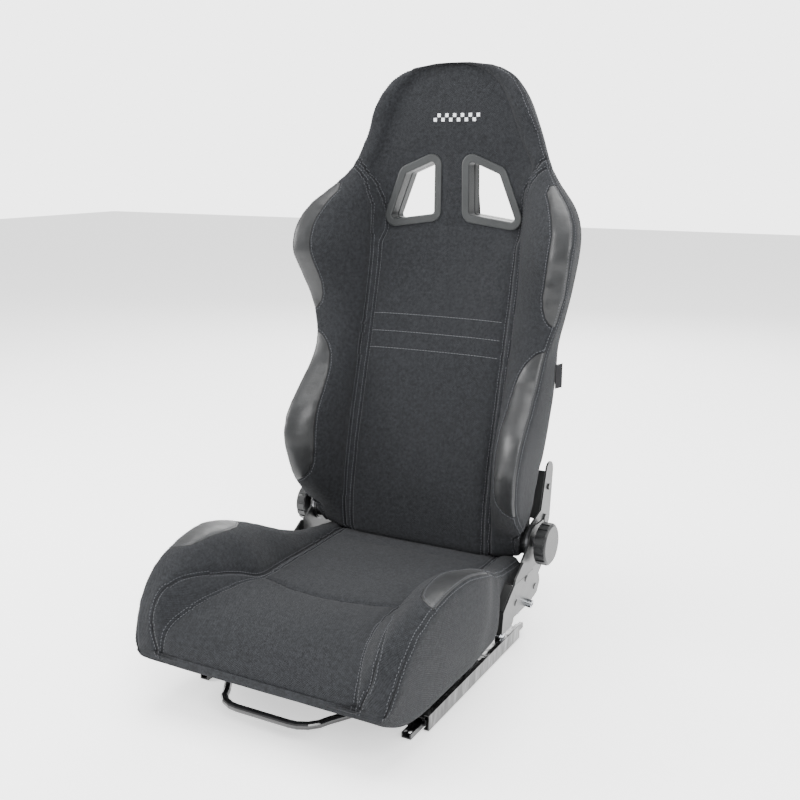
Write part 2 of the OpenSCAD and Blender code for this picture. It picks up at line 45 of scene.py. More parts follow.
def curveAt(points, s):
    # smooth curve through given (station, value) pairs
    p = np.asarray(points, float)
    s = np.asarray(s, float)
    i = np.clip(np.searchsorted(p[:, 0], s, side="right") - 1, 0, len(p) - 2)
    before = np.maximum(np.arange(len(p)) - 1, 0)
    after = np.minimum(np.arange(len(p)) + 1, len(p) - 1)
    rise = (p[after, 1] - p[before, 1]) / (p[after, 0] - p[before, 0])
    h = p[i + 1, 0] - p[i, 0]
    t = (s - p[i, 0]) / h
    return ((1 + 2 * t) * (1 - t) ** 2 * p[i, 1] + t * t * (3 - 2 * t) * p[i + 1, 1]
            + h * (t * (1 - t) ** 2 * rise[i] - t * t * (1 - t) * rise[i + 1]))


def ease(a, b, x):
    t = np.clip((x - a) / (b - a), 0, 1)
    return t * t * (3 - 2 * t)


def bow(a, b, c, t):
    return a * (1 - t) ** 2 + 2 * b * t * (1 - t) + c * t * t


class Flow:
    # one socket; sums on it add Math nodes to its own tree
    def __init__(self, tree, socket):
        self.tree, self.socket = tree, socket

    def maths(self, operation, *values):
        return self.tree.node("Math", {"operation": operation}, dict(enumerate(values)))

    def __add__(self, other):
        return self.maths("ADD", self, other)

    def __radd__(self, other):
        return self.maths("ADD", other, self)

    def __sub__(self, other):
        return self.maths("SUBTRACT", self, other)

    def __rsub__(self, other):
        return self.maths("SUBTRACT", other, self)

    def __mul__(self, other):
        return self.maths("MULTIPLY", self, other)

    def __rmul__(self, other):
        return self.maths("MULTIPLY", other, self)

    def __abs__(self):
        return self.maths("ABSOLUTE", self)

    def sine(self):
        return self.maths("SINE", self)

    def most(self, other):
        return self.maths("MAXIMUM", self, other)

    def ramp(self, low, high, a=0.0, b=1.0):
        return self.tree.node("MapRange", {"interpolation_type": "SMOOTHSTEP"},
                              {0: self, 1: low, 2: high, 3: a, 4: b})

    def outlet(self, index):
        # another output of the same node
        return Flow(self.tree, self.socket.node.outputs[index])


class NodeTree:
    def __init__(self, owner):
        owner.use_nodes = True
        self.nodes, self.links = owner.node_tree.nodes, owner.node_tree.links

    def node(self, kind, settings=None, inputs=None, out=0):
        new = self.nodes.new("ShaderNode" + kind)
        for key, value in (settings or {}).items():
            setattr(new, key, value)
        for key, value in (inputs or {}).items():
            self.plug(new.inputs[key], value)
        return Flow(self, new.outputs[out])

    def plug(self, socket, value):
        if isinstance(value, Flow):
            self.links.new(value.socket, socket)
        else:
            socket.default_value = value


class Finish(NodeTree):
    # a material; the keywords are even values for its shader's own sockets
    def __init__(self, name, **even):
        self.material = bpy.data.materials.new(name)
        super().__init__(self.material)
        self.shader = self.nodes["Principled BSDF"]
        for key, value in even.items():
            socket = self.shader.inputs[key.replace("_", " ")]
            socket.default_value = (*value, 1) if isinstance(value, tuple) else value

    def feed(self, **flows):
        for key, value in flows.items():
            self.plug(self.shader.inputs[key.replace("_", " ")], value)
        return self.material

    def attribute(self, name, out=2):
        # out 1 is the vector, 2 the single value
        return self.node("Attribute", {"attribute_name": name}, out=out)

    def noise(self, where, scale, detail=2.0, rough=0.5):
        return self.node("TexNoise", None,
                         {"Vector": where, "Scale": scale, "Detail": detail, "Roughness": rough})

    def stretched(self, where, scales):
        return self.node("Mapping", None, {0: where, 3: scales})

    def place(self):
        # object coordinates, in metres
        return self.node("TexCoord", out=3)

    def blend(self, amount, a, b):
        return self.node("Mix", {"data_type": "RGBA"}, {0: amount, 6: a, 7: b}, out=2)

    def bump(self, height, distance, strength):
        return self.node("Bump", None, {"Height": height, "Distance": distance, "Strength": strength})


coverLook = {
    "fabricDark": (0.0060, 0.0064, 0.0074, 1), "fabricPale": (0.022, 0.0235, 0.0265, 1),
    "fabricRough": 0.92, "yarn": 0.0015, "weaveDepth": 0.00035,
    "fleck": 1100.0, "fleckDepth": 0.0004, "cloud": 210.0,
    "toneShares": (0.55, 0.45, 0.06), "toneRange": (0.32, 0.70),     # fleck, cloud, weave
    "leatherDark": (0.008, 0.0085, 0.009, 1), "leatherPale": (0.014, 0.0148, 0.016, 1),
    "leatherRough": 0.40, "leatherCoat": 0.45, "grain": 620.0, "grainDepth": 0.00012,
    "wear": 38.0, "wearShares": (0.8, 0.3), "wearRange": (0.3, 0.9), "wearRough": 0.12,
    "creases": (18.0, 18.0, 60.0), "creaseDepth": 0.0022, "leatherLift": 0.0006,
    # the border and seam shade values below are painted shade, darkening the colour in the sunken seams and
    # along the patch borders
    "patchEdge": 0.0004, "borderWidth": 0.0016, "borderPaintedShadeStrength": 0.75, "borderDepth": 0.0010,
    "seamWidth": 0.0022, "seamPaintedShadeStrength": 0.85, "seamDepth": 0.0012, "seamPaintedShadeColour": (0.002, 0.002, 0.0025, 1),
    "bump": 0.9,
}


def coverFinish(name, look):
    # fabric with smooth sewn-on patches; the masks are distances in metres kept on the mesh
    f = Finish(name, Sheen_Weight=0.03, Sheen_Roughness=0.5, Specular_IOR_Level=0.18, Coat_Roughness=0.36)
    across = f.node("SeparateXYZ", None, {0: f.attribute("cloth", out=1)})
    along = across.outlet(1)
    patch = f.attribute("patch")
    where = f.place()
    leather = patch.ramp(-look["patchEdge"], look["patchEdge"])
    border = abs(patch).ramp(0.0, look["borderWidth"], 1.0, 0.0)
    crease = f.attribute("seam").ramp(0.0, look["seamWidth"], 1.0, 0.0)
    turn = math.pi / look["yarn"]
    weave = (across * turn).sine() * (along * turn).sine()
    fleck = f.noise(where, look["fleck"])
    cloud = f.noise(where, look["cloud"], 3.0, 0.6)
    fleckShare, cloudShare, weaveShare = look["toneShares"]
    tone = (fleck * fleckShare + cloud * cloudShare + weave * weaveShare).ramp(*look["toneRange"])
    fabric = f.blend(tone, look["fabricDark"], look["fabricPale"])
    grain = f.node("TexVoronoi", {"feature": "F1"}, {"Vector": where, "Scale": look["grain"]})
    wear = f.noise(where, look["wear"], 4.0)
    wearShare, grainShare = look["wearShares"]
    worn = (wear * wearShare + grain * grainShare).ramp(*look["wearRange"])
    colour = f.blend(leather, fabric, f.blend(worn, look["leatherDark"], look["leatherPale"]))
    # painted shade: the colour darkens towards the seams and the patch borders, where shade falls in their
    # sunken valleys
    shade = (crease * look["seamPaintedShadeStrength"]).most(border * look["borderPaintedShadeStrength"])
    colour = f.blend(shade, colour, look["seamPaintedShadeColour"])
    glossStep = look["leatherRough"] + wear * look["wearRough"] - look["fabricRough"]
    rough = leather * glossStep + look["fabricRough"]
    creases = f.noise(f.stretched(where, look["creases"]), 1.0, 3.0)
    low = weave * look["weaveDepth"] * (1 - leather) + fleck * look["fleckDepth"] * (1 - leather)
    high = (grain * look["grainDepth"] + creases * look["creaseDepth"]) * leather
    height = low + high - border * look["borderDepth"] - crease * look["seamDepth"]
    height = height + leather * look["leatherLift"]
    return f.feed(Base_Color=colour, Roughness=rough, Coat_Weight=leather * look["leatherCoat"],
                  Normal=f.bump(height, 1.0, look["bump"]))


surfaceLook = {
    "plain": {"cloud": 22.0, "shares": (0.7, 0.3), "range": (0.3, 0.75), "pale": 1.35, "lift": 0.004,
              "drift": 0.06, "bump": 0.6},
    "brushed": {"lines": 60.0, "cloud": 30.0, "range": (0.3, 0.7), "dull": 0.72, "drifts": (0.2, 0.15),
                "depth": 0.00008, "bump": 0.5},
    "rail": {"wave": (18.0, 34.0, 18.0), "depth": 0.0048, "cloud": 60.0, "range": (0.35, 0.7), "pale": 2.2,
             "drift": 0.14, "bump": 0.9},
}


def plainFinish(name, colour, rough, metal=0.0, coat=0.0, grain=0.0, scale=400.0, **more):
    # painted, plated or moulded surface: fine grain, slightly uneven gloss and tone
    look = surfaceLook["plain"]
    f = Finish(name, Metallic=metal, Coat_Weight=coat, **more)
    where = f.place()
    cloud = f.noise(where, look["cloud"], 3.0)
    fine = f.noise(where, scale)
    cloudShare, fineShare = look["shares"]
    pale = tuple(min(1.0, c * look["pale"] + look["lift"]) for c in colour)
    tone = f.blend((cloud * cloudShare + fine * fineShare).ramp(*look["range"]), (*colour, 1), (*pale, 1))
    gloss = rough + (cloud - 0.5) * look["drift"] * 2 + (fine - 0.5) * look["drift"]
    flows = {"Base_Color": tone, "Roughness": gloss}
    if grain:
        flows["Normal"] = f.bump(fine, grain, look["bump"])
    return f.feed(**flows)


def brushedFinish(name, colour, rough, stretch):
    # plated steel with faint drawn lines along one axis
    look = surfaceLook["brushed"]
    f = Finish(name, Metallic=1.0)
    where = f.place()
    lines = f.noise(f.stretched(where, stretch), look["lines"], 3.0)
    cloud = f.noise(where, look["cloud"], 3.0)
    dull = tuple(c * look["dull"] for c in colour)
    tone = f.blend((lines * 0.5 + cloud * 0.5).ramp(*look["range"]), (*dull, 1), (*colour, 1))
    lineDrift, cloudDrift = look["drifts"]
    return f.feed(Base_Color=tone, Roughness=rough + (lines - 0.5) * lineDrift + (cloud - 0.5) * cloudDrift,
                  Normal=f.bump(lines, look["depth"], look["bump"]))


def railFinish(name, colour, rough):
    # glossy dip paint over a rolled wall that is slightly uneven along its length
    look = surfaceLook["rail"]
    f = Finish(name, Coat_Weight=0.4, Coat_Roughness=0.1)
    where = f.place()
    rolled = f.noise(f.stretched(where, look["wave"]), 1.0)
    cloud = f.noise(where, look["cloud"], 3.0)
    pale = tuple(c * look["pale"] for c in colour)
    tone = f.blend(cloud.ramp(*look["range"]), (*colour, 1), (*pale, 1))
    return f.feed(Base_Color=tone, Roughness=rough + (cloud - 0.5) * look["drift"],
                  Normal=f.bump(rolled, look["depth"], look["bump"]))


coverMaterial = coverFinish("wovenCover", coverLook)
print("cover material made")


def fullGrid(half, stations, axis):
    # mirrors the right half round x = 0; rows are stations, columns go once round
    ring = np.array([[np.broadcast_to(part, stations.shape) for part in pair] for pair in half])
    ring = ring.transpose(2, 0, 1)
    ring = np.concatenate([ring, (ring * [-1, 1])[:, -2:0:-1]], 1)
    s = np.broadcast_to(stations[:, None], ring.shape[:2])
    parts = (ring[..., 0], ring[..., 1], s) if axis == 2 else (ring[..., 0], s, ring[..., 1])
    return np.stack(parts, -1) * mm


def seamColumns(counts, order):
    # number of the column where each stretch of the half section ends
    return [sum(counts[key] for key in order[:k + 1]) for k in range(len(order))]


def coverMesh(name, grid):
    rows, cols = grid.shape[:2]
    at = np.arange(rows * cols).reshape(rows, cols)
    nextCol = np.roll(at, -1, 1)
    faces = np.stack([at[:-1], nextCol[:-1], nextCol[1:], at[1:]], -1).reshape(-1, 4).tolist()
    half = cols // 2
    for row, flip in ((0, True), (rows - 1, False)):
        for k in range(half):                                  # strips across the open end
            corners = [k, k + 1, (cols - k - 1) % cols, (cols - k) % cols]
            strip = [int(at[row, c]) for c in dict.fromkeys(corners)]
            faces.append(strip[::-1] if flip else strip)
    mesh = bpy.data.meshes.new(name)
    mesh.from_pydata(grid.reshape(-1, 3).tolist(), [], faces)
    column = np.minimum(np.arange(cols), cols - np.arange(cols))
    arcs = np.linalg.norm(np.diff(grid[:, :half + 1], axis=1), axis=2).cumsum(1)
    arcs = np.concatenate([np.zeros((rows, 1)), arcs], 1)[:, column]
    climb = np.linalg.norm(np.diff(grid, axis=0), axis=2).mean(1).cumsum()
    climb = np.broadcast_to(np.concatenate([[0], climb])[:, None], arcs.shape)
    store(mesh, "column", np.broadcast_to(column, arcs.shape))
    store(mesh, "row", np.broadcast_to(np.arange(rows)[:, None], arcs.shape))
    store(mesh, "cloth", np.stack([arcs, climb, arcs * 0], -1), "FLOAT_VECTOR", "vector")
    obj = bpy.data.objects.new(name, mesh)
    bpy.context.scene.collection.objects.link(obj)
    return obj


def store(mesh, name, values, kind="FLOAT", key="value"):
    layer = mesh.attributes.get(name) or mesh.attributes.new(name, kind, "POINT")
    layer.data.foreach_set(key, np.ascontiguousarray(values, np.float32).ravel())


def stored(mesh, name):
    values = np.empty(len(mesh.vertices), np.float32)
    mesh.attributes[name].data.foreach_get("value", values)
    return values


def points(mesh):
    flat = np.empty(len(mesh.vertices) * 3, np.float32)
    mesh.vertices.foreach_get("co", flat)
    return flat.reshape(-1, 3).astype(float)


def normals(mesh):
    flat = np.empty(len(mesh.vertices) * 3, np.float32)
    mesh.vertex_normals.foreach_get("vector", flat)
    return flat.reshape(-1, 3).astype(float)


def setPoints(mesh, where):
    mesh.vertices.foreach_set("co", np.ascontiguousarray(where, np.float32).ravel())
    mesh.update()


def settled(obj):
    # the mesh as its modifiers leave it
    graph = bpy.context.evaluated_depsgraph_get()
    return bpy.data.meshes.new_from_object(obj.evaluated_get(graph), preserve_all_data_layers=True,
                                           depsgraph=graph)


swelling = {
    "steps": 20,
    "settings": {"quality": 6, "mass": 0.35, "tension_stiffness": 12, "compression_stiffness": 12,
                 "shear_stiffness": 5, "bending_stiffness": 0.4, "air_damping": 2, "use_pressure": True},
}


def puffUp(obj, held, pressure, cap):
    # cloth simulation under pressure; held points stay, the rest move no further than cap
    rest = points(obj.data)
    group = obj.vertex_groups.new(name="held")
    group.add([int(i) for i in np.flatnonzero(held)], 1.0, "REPLACE")
    swell = obj.modifiers.new("swell", "CLOTH")
    for key, value in swelling["settings"].items():
        setattr(swell.settings, key, value)
    swell.settings.uniform_pressure_force = pressure
    swell.settings.effector_weights.gravity = 0
    swell.settings.vertex_group_mass = "held"
    swell.point_cache.frame_start, swell.point_cache.frame_end = 1, swelling["steps"]
    for step in range(1, swelling["steps"] + 1):
        bpy.context.scene.frame_set(step)
    moved = points(settled(obj)) - rest
    bpy.context.scene.frame_set(1)
    obj.modifiers.remove(swell)
    far = np.linalg.norm(moved, axis=1, keepdims=True)
    soft = np.tanh(far / cap) * cap / np.maximum(far, 1e-9)
    setPoints(obj.data, rest + moved * soft)
    print(obj.name, "swelled, most %.1f mm" % (far.max() / mm))


def subdivided(obj):
    finer = obj.modifiers.new("finer", "SUBSURF")
    finer.levels = finer.render_levels = 1
    new = settled(obj)
    obj.modifiers.remove(finer)
    old, obj.data = obj.data, new
    bpy.data.meshes.remove(old)


def pathOn(grid, stations, outline, side):
    # a given (station, column) outline as points on the simulated grid
    rows, cols = grid.shape[:2]
    dense = []
    for (s0, c0), (s1, c1) in zip(outline, outline[1:]):
        pieces = max(2, int(max(abs(s1 - s0) / 4, abs(c1 - c0) * 2)))
        dense += [(s0 + (s1 - s0) * k / pieces, c0 + (c1 - c0) * k / pieces) for k in range(pieces)]
    dense.append(outline[-1])
    s, c = np.array(dense, float).T
    row = np.interp(s, stations, np.arange(rows))
    column = c if side > 0 else (cols - c)
    r0 = np.clip(row.astype(int), 0, rows - 2)
    c0 = np.floor(column).astype(int)
    fr, fc = (row - r0)[:, None], (column - c0)[:, None]
    a, b = grid[r0, c0 % cols], grid[r0, (c0 + 1) % cols]
    d, e = grid[r0 + 1, c0 % cols], grid[r0 + 1, (c0 + 1) % cols]
    return (a * (1 - fc) + b * fc) * (1 - fr) + (d * (1 - fc) + e * fc) * fr


def both(grid, stations, outline):
    # the outline on the right half and its mirror on the left
    return [pathOn(grid, stations, outline, side) for side in (1, -1)]


def farFrom(where, paths, reach=0.05):
    # distance in metres of every point to the nearest polyline; 1 for points out of reach
    best = np.full(len(where), 1.0)
    for path in paths:
        box0, box1 = path.min(0) - reach, path.max(0) + reach
        near = np.flatnonzero(((where > box0) & (where < box1)).all(1))
        if not len(near):
            continue
        p = where[near]
        for a, b in zip(path, path[1:]):
            ab = b - a
            t = np.clip(((p - a) @ ab) / max(ab @ ab, 1e-12), 0, 1)
            gap = np.linalg.norm(p - (a + t[:, None] * ab), axis=1)
            best[near] = np.minimum(best[near], gap)
    return best


def inside(outline, s, c):
    # even-odd test in station and column space
    hit = np.zeros(len(s), bool)
    for (s0, c0), (s1, c1) in zip(outline, outline[1:] + outline[:1]):
        crosses = ((s0 > s) != (s1 > s))
        with np.errstate(divide="ignore", invalid="ignore"):
            reach = (c1 - c0) * (s - s0) / (s1 - s0) + c0
        hit ^= crosses & (c < reach)
    return hit


def ripple(where, length, seed):
    # soft noise with bumps about a length apart; the seed shifts it
    shift = Vector((seed, seed * 2, 0))
    return np.array([noise.noise(Vector(p.tolist()) + shift) for p in where * (1 / length)])


def sewCover(obj, stations, seams, patches, sew):
    # keeps the distances the material reads, then sinks the seams and puckers the cloth beside them
    mesh = obj.data
    where, facing = points(mesh), normals(mesh)
    column = stored(mesh, "column")
    station = np.interp(stored(mesh, "row"), np.arange(len(stations)), stations)
    seam = farFrom(where, seams)
    signed = np.full(len(where), -1.0)
    for outline, edges in patches:
        within = inside(outline, station, column)
        gap = farFrom(where, edges)
        signed = np.maximum(signed, np.where(within, gap, -gap))
    store(mesh, "seam", seam)
    store(mesh, "patch", signed)
    pucker = ripple(where, sew["puckerLength"], 3.0)
    foam = ripple(where, sew["foamLength"], 9.0)
    edge = np.minimum(seam, np.abs(signed) + sew["patchFirm"])
    push = (-sew["sink"] * np.exp(-(seam / sew["sinkWidth"]) ** 2)
            + sew["pucker"] * pucker * np.exp(-edge / sew["puckerReach"])
            + sew["foam"] * foam
            - sew["patchSink"] * np.exp(-(signed / sew["patchWidth"]) ** 2))
    setPoints(mesh, where + facing * push[:, None])
    for name in ("column", "row"):
        mesh.attributes.remove(mesh.attributes[name])
    mesh.shade_smooth()
    mesh.materials.clear()
    mesh.materials.append(coverMaterial)
    print(obj.name, "sewn,", len(mesh.vertices), "points")


def surfaceOf(obj):
    return BVHTree.FromPolygons([v.co for v in obj.data.vertices],
                                [p.vertices for p in obj.data.polygons])


def evenSteps(path, pitch):
    # points a pitch apart along a polyline
    run = np.concatenate([[0], np.linalg.norm(np.diff(path, axis=0), axis=1).cumsum()])
    marks = np.arange(pitch / 2, run[-1], pitch)
    return np.stack([np.interp(marks, run, path[:, k]) for k in range(3)], -1)


stitchShape = {
    "sides": 6,
    "lift": 0.35, "dip": 0.9,     # in thread radii: height at the middle, drop at the ends
    "rings": ((-0.5, 0.25), (-0.38, 0.85), (0.0, 1.0), (0.38, 0.85), (0.5, 0.25)),     # place, size
}


def stitchRun(skin, path, pitch, length, radius, offset=0.0):
    # capsules lying on the cover along a path, as (points, faces)
    sides, rings = stitchShape["sides"], stitchShape["rings"]
    allPoints, allFaces = [], []
    marks = evenSteps(path, pitch)
    for k in range(len(marks) - 1):
        ahead = Vector((marks[k + 1] - marks[k]).tolist()).normalized()
        spot, out, _, _ = skin.find_nearest(Vector(marks[k].tolist()))
        if spot is None:
            continue
        across = ahead.cross(out).normalized()
        if offset:
            spot, out, _, _ = skin.find_nearest(spot + across * offset)
            across = ahead.cross(out).normalized()
        out = across.cross(ahead)
        start = len(allPoints)
        for t, size in rings:
            rise = radius * stitchShape["lift"] - radius * stitchShape["dip"] * (2 * t) ** 2
            middle = spot + ahead * (t * length) + out * rise
            for j in range(sides):
                a = 2 * math.pi * j / sides
                allPoints.append(middle + (across * math.cos(a) + out * math.sin(a)) * radius * size)
        for r in range(len(rings) - 1):
            for j in range(sides):
                a, b = start + r * sides + j, start + r * sides + (j + 1) % sides
                allFaces.append((a, a + sides, b + sides, b))
        last = start + (len(rings) - 1) * sides
        allFaces.append(tuple(range(start, start + sides)))
        allFaces.append(tuple(range(last + sides - 1, last - 1, -1)))
    return allPoints, allFaces


def stitchPiece(name, runs, material, body):
    verts, faces = [], []
    for runPoints, runFaces in runs:
        faces += [tuple(i + len(verts) for i in face) for face in runFaces]
        verts += runPoints
    mesh = bpy.data.meshes.new(name)
    mesh.from_pydata(verts, [], faces)
    mesh.shade_smooth()
    mesh.materials.append(material)
    obj = bpy.data.objects.new(name, mesh)
    bpy.context.scene.collection.objects.link(obj)
    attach(obj, body)
    return obj


back = {
    # (height, value) in mm for the right half; the left is its mirror image
    "edgeX": [(129, 170), (133, 180), (143, 188), (172, 196), (225, 200), (305, 208), (355, 209),
              (410, 205), (450, 206), (500, 219), (550, 235), (600, 245), (640, 243), (670, 228),
              (700, 198), (728, 177), (777, 155), (821, 137), (850, 120), (868, 102), (880, 76), (887, 30)],
    "edgeY": [(129, 178), (133, 167), (143, 160), (172, 146), (225, 99), (279, 82), (305, 83),
              (340, 97), (378, 132), (419, 168), (467, 190), (510, 196), (548, 188), (592, 174),
              (625, 182), (665, 205), (700, 238), (728, 259), (777, 270), (821, 265), (887, 278)],
    "panelX": [(129, 130), (143, 133), (656, 133), (700, 134), (730, 140), (760, 124), (821, 100), (850, 84),
               (868, 66), (880, 45), (887, 14)],
    "panelY": [(129, 174), (133, 162), (143, 155), (200, 156), (281, 171), (362, 192), (460, 219),
               (574, 248), (632, 257), (700, 268), (760, 276), (821, 276), (887, 282)],
    "hollow": [(129, 1), (143, 2), (250, 8), (489, 14), (620, 24), (700, 14), (770, 4), (887, 1)],
    "rearX": [(129, 144), (143, 150), (300, 150), (440, 165), (520, 176), (600, 185), (660, 176), (728, 138),
              (800, 112), (850, 84), (887, 12)],
    "rearY": [(129, 208), (133, 216), (143, 222), (200, 238), (290, 268), (440, 308), (605, 352),
              (700, 362), (790, 354), (850, 336), (887, 300)],
    "flank": [(129, 0), (400, 0), (480, 8), (560, 17), (700, 19), (780, 12), (887, 4)],
    "armLimit": [(129, 150), (172, 150), (190, 165), (215, 198), (250, 214), (292, 236)],
    # the strip inside the panel seam: its width there over the panel's, and its greatest rise
    "stripShare": 120 / 133, "stripStep": 6, "stripRise": 0.4, "panelFlat": 2.6,
    "bolsterLean": 0.3, "bolsterRound": 8, "flankRound": 3, "rearRound": 5,
    # beside the recliner arms the flank keeps this far from the middle, and is free higher up
    "armGap": 175, "armStep": 40, "armReach": 26, "armTop": (270, 300), "openAbove": 300, "openGap": 300,
    "rimY": 280.4, "rimReach": 12, "rimBlend": 34, "rearRimY": 320, "rearBlend": 46, "rimFade": 0.4,
    "drop": 9, "dropAcross": (110, 165), "dropUp": (143, 190),      # lower edge hangs between the arms
    "shellX": (125, 135), "shellLow": (192, 202), "shellHigh": (590, 600), "shellSink": 11,
    "columns": {"centre": 12, "strip": 3, "bolster": 16, "flank": 14, "rear": 8},
    "heldFlank": 300, "heldLow": 146, "heldRim": 16,     # seams and hidden stretches that don't swell
    "pressure": 4.0, "cap": 0.0055,
}
backSew = {"sink": 0.0030, "sinkWidth": 0.0042, "pucker": 0.0011, "puckerLength": 0.013,
           "puckerReach": 0.013, "foam": 0.0010, "foamLength": 0.07, "patchSink": 0.0007,
           "patchWidth": 0.003, "patchFirm": 0.002}

# leather patches and seams as (height, column) outlines; the patches close along the edge seam
shoulderPatch = [(703, 31), (700, 28.4), (690, 26.9), (665, 26.7), (633, 27.0), (609, 27.0), (585, 26.9),
                 (560, 26.6), (540, 26.4), (522, 26.9), (508, 27.9), (498, 29.3), (493, 31)]
lumbarPatch = [(460, 31), (453, 28.5), (440, 26.4), (424, 24.7), (404, 23.7), (382, 23.1), (360, 22.8),
               (330, 22.5), (300, 22.3), (275, 22.4), (255, 23), (240, 24.3), (229, 26.6),
               (222, 29), (219, 31)]
shoulderSeam = [(131, 15), (650, 15), (668, 15.5), (684, 16.5), (705, 19), (718, 22.5), (726, 27), (729, 31)]
innerSeam = [(131, 12), (645, 12), (668, 12.6), (690, 13.6), (710, 15.6), (727, 21), (738, 27), (742, 31)]
edgeSeam = [(131, 31), (880, 31)]
paleRows = (489, 461, 434)                                     # heights of the three cross lines


slotCorners = [(29, 650), (117, 638), (85, 718), (28, 741)]    # right belt slot, x and z in mm


def slotGap(x, z):
    # how far outside the slot outline a point is, in mm; negative within
    corners = np.array(slotCorners, float)
    x, z = np.broadcast_arrays(x, z)
    best, hit = np.full(x.shape, 1e6), np.zeros(x.shape, bool)
    for (x0, z0), (x1, z1) in zip(corners, np.roll(corners, -1, 0)):
        ab = np.array([x1 - x0, z1 - z0])
        t = np.clip(((x - x0) * ab[0] + (z - z0) * ab[1]) / (ab @ ab), 0, 1)
        best = np.minimum(best, np.hypot(x - x0 - t * ab[0], z - z0 - t * ab[1]))
        hit ^= ((z0 > z) != (z1 > z)) & (x < (x1 - x0) * (z - z0) / (z1 - z0 + 1e-9) + x0)
    return np.where(hit, -best, best)


def backHalf(z):
    v = {key: curveAt(value, z) for key, value in back.items() if isinstance(value, list)}
    n = back["columns"]
    deep = v["panelY"] + v["hollow"]
    stripX = v["panelX"] * back["stripShare"]
    stripY = v["panelY"] + np.minimum(back["stripStep"], v["hollow"] * back["stripRise"])
    half = []

    def toRim(x, y, share=1.0):
        # brings the cloth level with the plastic rims round the belt slots
        near = 1 - ease(back["rimReach"], back["rimBlend"], slotGap(x, z))
        return x, y + (back["rimY"] - y) * near * share

    for k in range(n["centre"]):
        t = k / n["centre"]
        half.append(toRim(stripX * t, deep - (deep - stripY) * t ** back["panelFlat"]))
    for k in range(n["strip"]):
        t = k / n["strip"]
        half.append(toRim(stripX + (v["panelX"] - stripX) * t, stripY + (v["panelY"] - stripY) * t,
                          1 - back["rimFade"] * t))
    for k in range(n["bolster"]):
        t = k / n["bolster"]
        lean = v["panelX"] + (v["edgeX"] - v["panelX"]) * back["bolsterLean"]
        half.append((bow(v["panelX"], lean, v["edgeX"], t),
                     bow(v["panelY"], v["edgeY"] - back["bolsterRound"], v["edgeY"], t)))
    for k in range(n["flank"]):
        t = k / n["flank"]
        x = bow(v["edgeX"], v["edgeX"] - v["flank"], v["rearX"], t)
        y = bow(v["edgeY"], v["rearY"] - back["flankRound"] * v["flank"], v["rearY"], t)
        ahead = np.clip((v["armLimit"] - y) / back["armReach"], 0, 1)
        above = ease(*back["armTop"], z)
        clear = back["armGap"] + back["armStep"] * (ahead + above)
        clear = clear + back["openGap"] * (z > back["openAbove"])
        half.append((np.minimum(x, clear), y))
    shell = ease(*back["shellLow"], z) * (1 - ease(*back["shellHigh"], z))
    for k in range(n["rear"] + 1):
        t = k / n["rear"]
        x = v["rearX"] * (1 - t)
        under = shell * (1 - ease(*back["shellX"], x))
        y = v["rearY"] + back["rearRound"] * (1 - (1 - t) ** 2) - back["shellSink"] * under
        recess = 1 - ease(back["rimReach"], back["rearBlend"], slotGap(x, z))
        half.append((x, y + (back["rearRimY"] - y) * recess))
    return half


# heights of the rows of points, closer together at the rounded ends
backStations = np.concatenate([[129, 130, 131.5, 134, 138], np.arange(143, 840, 5),
                               np.arange(842, 866, 3), np.arange(866, 880, 2),
                               [880, 881.5, 883, 884.5, 885.5, 886.3, 887]])


def cutSlots(obj):
    # opens the cover behind the plastic rims of the belt slots
    work = bmesh.new()
    work.from_mesh(obj.data)
    centres = np.array([f.calc_center_median() for f in work.faces]) / mm
    gap = slotGap(np.abs(centres[:, 0]), centres[:, 2])
    work.faces.ensure_lookup_table()
    hidden = [work.faces[int(i)] for i in np.flatnonzero(gap < 1)]
    bmesh.ops.delete(work, geom=hidden, context="FACES")
    work.to_mesh(obj.data)
    work.free()


backRest = fullGrid(backHalf(backStations), backStations, 2)
middle = 1 - ease(*back["dropAcross"], np.abs(backRest[..., 0]) / mm)
backRest[..., 2] -= back["drop"] * mm * middle * (1 - ease(*back["dropUp"], backRest[..., 2] / mm))
backCover = coverMesh("backrestCover", backRest)
restPoints = points(backCover.data)
column = stored(backCover.data, "column")
rowNumber = stored(backCover.data, "row")
height, sideways = restPoints[:, 2] / mm, np.abs(restPoints[:, 0]) / mm
panelAt, stripAt, edgeAt, rearAt = seamColumns(back["columns"], ("centre", "strip", "bolster", "flank"))
heldBack = np.isin(column, (panelAt, stripAt, edgeAt)) | (column >= rearAt - 2)
heldBack |= (column > edgeAt) & (height < back["heldFlank"])
heldBack |= (height < back["heldLow"]) | (rowNumber >= len(backStations) - 2)
heldBack |= slotGap(sideways, height) < back["heldRim"]
puffUp(backCover, heldBack, back["pressure"], back["cap"])
backGrid = points(backCover.data).reshape(len(backStations), -1, 3)
subdivided(backCover)


backSeams = [path for outline in (shoulderSeam, innerSeam, edgeSeam)
             for path in both(backGrid, backStations, outline)]
backPatches = [(outline, both(backGrid, backStations, outline)) for outline in (shoulderPatch, lumbarPatch)]
sewCover(backCover, backStations, backSeams, backPatches, backSew)
cutSlots(backCover)
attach(backCover, "backrest")
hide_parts("back_pad")
print("backrest cover done")


